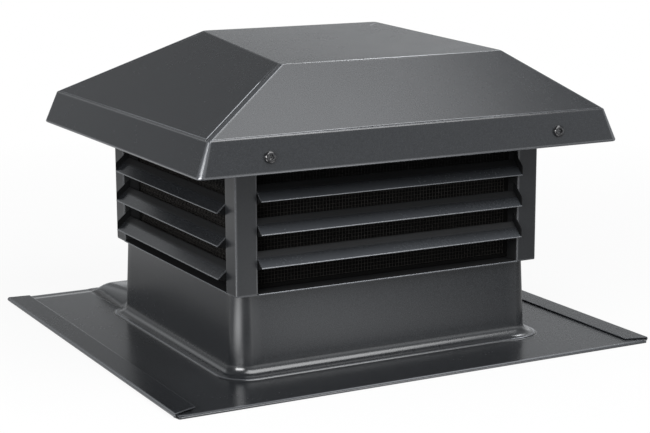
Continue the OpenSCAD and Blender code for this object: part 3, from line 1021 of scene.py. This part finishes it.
def build_screen(sizes, side):
    """Woven wires: each wire waves over and under those that cross it.

    A wire's height is the cosine of pi times its place in pitches, and its neighbour's is
    the opposite. It is a little over half a wire, so that wires clear where they cross."""
    low, high = local_box("screen_" + side, side)
    middle = (low[1] + high[1]) / 2
    inner_low = low[[0, 2]] + SEAT * sizes.border
    inner_high = high[[0, 2]] - SEAT * sizes.border
    counts = np.round((inner_high - inner_low) / sizes.pitch).astype(int)
    wave = sizes.wire * 0.52
    parts = []
    for axis in (0, 1):
        cross = 1 - axis
        gap = (inner_high - inner_low) / counts
        steps = np.arange(0, 2 * counts[axis] + 1) / 2
        lines = np.arange(counts[cross]) + 0.5
        step, line = np.meshgrid(steps, lines)
        paths = np.empty((*step.shape, 3))
        paths[..., 2 * axis] = inner_low[axis] + gap[axis] * step
        paths[..., 2 * cross] = inner_low[cross] + gap[cross] * line
        phase = np.cos(np.pi * (step - 0.5)) * np.cos(np.pi * (line - 0.5))
        paths[..., 1] = middle + wave * phase * (1 if axis else -1)
        parts += tubes(paths, sizes.wire / 2, np.array([0.0, 1.0, 0.0]))
    return [placed(p, side) for p in parts]


def build_frame(sizes, side):
    """The flat frame of a screen, and a black sheet in it on the inner side of the wires, which
    stands in for the shade inside the box.
    """
    low, high = local_box("screen_" + side, side)
    middle, thickness = (low[1] + high[1]) / 2, high[1] - low[1]
    border, seat = sizes.border, SEAT * sizes.border
    parts = []
    for left, right, bottom, top in (
            (low[0], high[0], low[2], low[2] + border), (low[0], high[0], high[2] - border, high[2]),
            (low[0], low[0] + border, low[2] + border, high[2] - border),
            (high[0] - border, high[0], low[2] + border, high[2] - border)):
        path = bent_path([(middle, bottom + thickness / 2), (middle, top - thickness / 2)])
        parts.append(extrude(strip_outline(path, thickness), left, right))
    cloth = low[1] + sizes.cloth
    path = bent_path([(cloth, low[2] + seat), (cloth, high[2] - seat)])
    parts.append(extrude(strip_outline(path, sizes.cloth), low[0] + seat, high[0] - seat))
    return [placed(p, side) for p in parts]


# ------------------------------------------------------------------ screws

def screw_profile(sizes):
    """Radii, heights and lobe depths of a screw's rings, from the shank's tip to the recess floor.

    The shank is plain over its neck, the tip ends in a point, edges are broken by a hair, and
    a lobe is a share of the recess's radius. The thread swells by a sine along the shank."""
    neck, point, hair, lobe = 0.002, 0.0012, 0.0002, 0.16
    turns = np.arange(0, sizes.reach - neck, sizes.thread / 4)
    thread = sizes.shank * (0.86 + 0.14 * np.abs(np.sin(np.pi * turns / sizes.thread)))
    shank = np.column_stack([thread, turns - sizes.reach, 0 * turns])
    angle = np.linspace(0, math.pi / 2, 9)
    inner = 1.28 * sizes.recess
    rim = 0.30 * sizes.dome
    dome_r = inner + (sizes.head - inner) * np.cos(angle) ** 0.75
    dome_z = rim + (sizes.dome - rim) * np.sin(angle)
    dome = np.column_stack([dome_r, dome_z, 0 * angle])
    tip = [(0.3 * sizes.shank, -sizes.reach - point, 0)]
    under = [(sizes.shank, -hair, 0), (0.96 * sizes.head, -hair, 0), (sizes.head, hair, 0)]
    floor = sizes.dome - sizes.recess_depth
    recess = [(1.05 * sizes.recess, sizes.dome - 0.5 * hair, 0.75 * lobe),
              (sizes.recess, sizes.dome - 2 * hair, lobe),
              (0.92 * sizes.recess, floor, lobe), (0.25 * sizes.recess, floor - 1.5 * hair, 0)]
    return np.concatenate([tip, shank, under, dome, recess])


def build_screw(sizes, x, front):
    """A pan-head screw: rings round its axis, the recess rings waved into six lobes."""
    profile = screw_profile(sizes)
    angle = np.arange(sizes.columns) * 2 * math.pi / sizes.columns
    radius = profile[:, :1] * (1 + profile[:, 2:] * np.cos(6 * angle))
    rings = np.stack([radius * np.cos(angle), radius * np.sin(angle),
                      np.broadcast_to(profile[:, 1:2], radius.shape)], -1)
    hood = bpy.context.scene.vent_hood
    lean = hood.lean_front / hood.skirt
    out = unit(np.array([0.0, -front, lean]))
    right = np.array([1.0, 0.0, 0.0])
    z = HOOD_LO[2] + sizes.height
    edge = HOOD_LO[1] if front > 0 else HOOD_HI[1]
    seat = np.array([x, edge + front * lean * sizes.height, z])
    return skin(seat + rings @ np.stack([right, np.cross(out, right), out]))


# ------------------------------------------------------------------ operators

class VENT_OT_flashing(Operator):
    """Draw the flashing pan with its collar, saddle and hems"""
    bl_idname = "vent.flashing"
    bl_label = "Flashing"

    def execute(self, context):
        parts = build_flashing(context.scene.vent_flashing)
        piece("flashing", parts, "anthracite_coat", ["base_pan"])
        return {"FINISHED"}


class VENT_OT_hood(Operator):
    """Fold the hipped hood with its skirt"""
    bl_idname = "vent.hood"
    bl_label = "Hood"

    def execute(self, context):
        parts = build_hood(context.scene.vent_hood)
        piece("hood_sheet", parts, "anthracite_coat", ["hood"])
        return {"FINISHED"}


class VENT_OT_posts(Operator):
    """Bend the four corner posts of the louvre box"""
    bl_idname = "vent.posts"
    bl_label = "Posts"

    def execute(self, context):
        sizes = context.scene.vent_louvres
        corners = {"front": "front_left", "right": "front_right", "back": "back_right", "left": "back_left"}
        for side, corner in corners.items():
            piece("corner_" + corner, build_post(sizes, side), "anthracite_coat_box",
                  ["post_" + corner], sizes.edge)
        return {"FINISHED"}


class VENT_OT_rails(Operator):
    """Bend the sill and the header of each opening"""
    bl_idname = "vent.rails"
    bl_label = "Sills and headers"

    def execute(self, context):
        sizes = context.scene.vent_louvres
        for side in TURNS:
            for rail, build in (("sill", build_sill), ("header", build_header)):
                piece(f"{rail}_rail_{side}", build(sizes, side), "anthracite_coat_box",
                      [f"{rail}_{side}"])
        return {"FINISHED"}


class VENT_OT_blades(Operator):
    """Fold the louvre blades of all four openings"""
    bl_idname = "vent.blades"
    bl_label = "Louvre blades"

    def execute(self, context):
        sizes = context.scene.vent_louvres
        for side in TURNS:
            for row in ROWS:
                piece(f"louvre_{side}_{row}", build_blade(sizes, side, row), "anthracite_coat_box",
                      [f"blade_{side}_{row}"])
            parts = [part for row in ROWS for part in build_ends(sizes, side, row)]
            piece("louvre_ends_" + side, parts, "black_blade_end", [])
        return {"FINISHED"}


class VENT_OT_screens(Operator):
    """Weave the insect screens behind the louvres"""
    bl_idname = "vent.screens"
    bl_label = "Insect screens"

    def execute(self, context):
        sizes = context.scene.vent_screens
        for side in TURNS:
            piece("mesh_" + side, build_screen(sizes, side), "screen_wire",
                  ["screen_" + side])
            # The frames and the black sheet behind the wires: painted shade for the inside of the box
            piece("screen_frame_" + side, build_frame(sizes, side), "black_shade_backing", [])
        return {"FINISHED"}


class VENT_OT_straps(Operator):
    """Coat the two straps that carry the hood"""
    bl_idname = "vent.straps"
    bl_label = "Hood straps"

    def execute(self, context):
        for name in ("strap_left", "strap_right"):
            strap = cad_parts[name]
            strap.data.materials.clear()
            strap.data.materials.append(material("anthracite_coat"))
        return {"FINISHED"}


class VENT_OT_screws(Operator):
    """Drive the screws through the hood skirt into the straps"""
    bl_idname = "vent.screws"
    bl_label = "Screws"

    def execute(self, context):
        for name in ("left", "right"):
            low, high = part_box("strap_" + name)
            for place, front in (("front", 1), ("back", -1)):
                part = build_screw(context.scene.vent_screws, (low.x + high.x) / 2, front)
                piece(f"screw_{place}_{name}", [part], "black_oxide_screw", [])
        return {"FINISHED"}


def soft_light(name, place, aim, size, power):
    """A rectangular soft light at a place, turned to face a point."""
    data = bpy.data.lights.new(name, "AREA")
    data.shape = "RECTANGLE"
    data.size, data.size_y = size
    data.energy = power
    made = bpy.data.objects.new(name, data)
    made.location = place
    made.rotation_euler = (Vector(aim) - made.location).to_track_quat("-Z", "Y").to_euler()
    bpy.context.scene.collection.objects.link(made)


# Lamps that only a reflection finds: the direction towards each and its strength
MIRRORED_LAMPS = (((-0.25, 0.86, 0.44), 0.8), ((0.46, 0.45, 0.77), 11.0), ((0.19, 0.0, 0.98), 6.0))
LAMP_SPREAD = 0.25


class VENT_OT_stage(Operator):
    """Set up the camera, the pale floor and the soft studio lights"""
    bl_idname = "vent.stage"
    bl_label = "Studio"

    def execute(self, context):
        stage = context.scene.vent_stage
        self.camera(context, stage)
        self.floor(context, stage)
        self.world(context)
        centre = (0.0, BOX_CENTRE[1], 0.15)
        soft_light("front_key", (0.25, -1.05, 1.30), centre, (1.4, 1.0), 14.0)
        soft_light("left_panel", (-1.36, -0.85, 0.60), centre, (1.2, 0.6), 17.0)
        context.scene.view_settings.view_transform = "Standard"
        return {"FINISHED"}

    def camera(self, context, stage):
        """Stands the camera back from the point it looks at, then rolls it about its own axis."""
        data = bpy.data.cameras.new("camera")
        data.lens = stage.lens
        camera = bpy.data.objects.new("camera", data)
        across = math.cos(stage.elevation)
        back = Vector((math.sin(stage.azimuth) * across, -math.cos(stage.azimuth) * across,
                       math.sin(stage.elevation)))
        aim = Vector((stage.aim_right, BOX_CENTRE[1], stage.aim_height))
        camera.location = aim + back * stage.distance
        camera.rotation_mode = "QUATERNION"
        turn = (-back).to_track_quat("-Z", "Y")
        camera.rotation_quaternion = turn @ Quaternion((0.0, 0.0, 1.0), stage.roll)
        context.scene.collection.objects.link(camera)
        context.scene.camera = camera

    def floor(self, context, stage):
        """A pale disc a hair below the vent, which keeps a soft shadow."""
        angle = np.linspace(0, 2 * math.pi, 65)[:-1]
        radii = np.array([0.02, 0.3, 0.6, 1.0, 2.0, 4.0, stage.floor_radius])[:, None]
        x, y = radii * np.cos(angle), radii * np.sin(angle)
        rings = np.stack([x, y, np.full_like(x, -0.0002)], -1)
        points, quads = skin(np.concatenate([rings, rings[::-1] - (0, 0, 0.01)]))
        mesh = bpy.data.meshes.new("floor")
        mesh.from_pydata(points.tolist(), [], quads.tolist())
        floor = bpy.data.objects.new("floor", mesh)
        context.scene.collection.objects.link(floor)
        mesh.materials.append(material("studio_floor"))

    def world(self, context):
        """White to the camera, soft grey to the pieces, and a backdrop to a reflection.

        The backdrop is palest near the ground. It gains from left to right, and falls off
        again far round to the right. Overhead it is dark, but for small lamps."""
        world = bpy.data.worlds.new("studio")
        context.scene.world = world
        shader = Shader(world)
        where = shader.where()
        seen, glossy, clear = (shader.ray(kind) for kind in ("Camera", "Glossy", "Transmission"))
        right, up = (shader.along(where, axis) for axis in "XZ")
        low = up.fall(0.1626, 0.1124)
        high = up.fall(0.825, 0.125).at_least(0.1)
        across = right * 0.72 + 0.66 - (right - 0.62).at_least(0.0) * 2.2
        backdrop = (low * 0.55 + 0.31) * across.at_least(0.25) * high
        for towards, lamp in MIRRORED_LAMPS:
            backdrop = backdrop + shader.spot(where, towards, LAMP_SPREAD) * lamp
        grey = 0.38
        other = glossy * (backdrop - grey) + grey
        strength = (seen + clear).at_most(1.0) * (1.0 - other) + other
        tint = shader.mixed(seen, (0.96, 0.98, 1.0, 1.0), (1.0, 1.0, 1.0, 1.0))
        light = shader.node("ShaderNodeBackground", None, {"Color": tint, "Strength": strength})
        shader.node("ShaderNodeOutputWorld", None, {"Surface": light})


STEPS = (VENT_OT_flashing, VENT_OT_hood, VENT_OT_posts, VENT_OT_rails, VENT_OT_blades,
         VENT_OT_screens, VENT_OT_straps, VENT_OT_screws, VENT_OT_stage)


class VENT_PT_build(Panel):
    """Buttons for every piece of the vent"""
    bl_idname = "VENT_PT_build"
    bl_label = "Roof Vent"
    bl_space_type = "VIEW_3D"
    bl_region_type = "UI"
    bl_category = "Roof Vent"

    def draw(self, context):
        for step in STEPS:
            self.layout.operator(step.bl_idname)
        for name, group in SETTINGS.items():
            box = self.layout.box()
            box.label(text=name.replace("vent_", "").capitalize())
            for value in group.__annotations__:
                box.prop(getattr(context.scene, name), value)


CLASSES = (*SETTINGS.values(), *STEPS, VENT_PT_build)


def register():
    for item in CLASSES:
        bpy.utils.register_class(item)
    for name, group in SETTINGS.items():
        setattr(bpy.types.Scene, name, PointerProperty(type=group))


def unregister():
    for name in SETTINGS:
        delattr(bpy.types.Scene, name)
    for item in reversed(CLASSES):
        bpy.utils.unregister_class(item)


def main():
    """Registers the add-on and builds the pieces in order."""
    register()
    for step in STEPS:
        group, action = step.bl_idname.split(".")
        getattr(getattr(bpy.ops, group), action)()


if __name__ == "__main__":
    main()
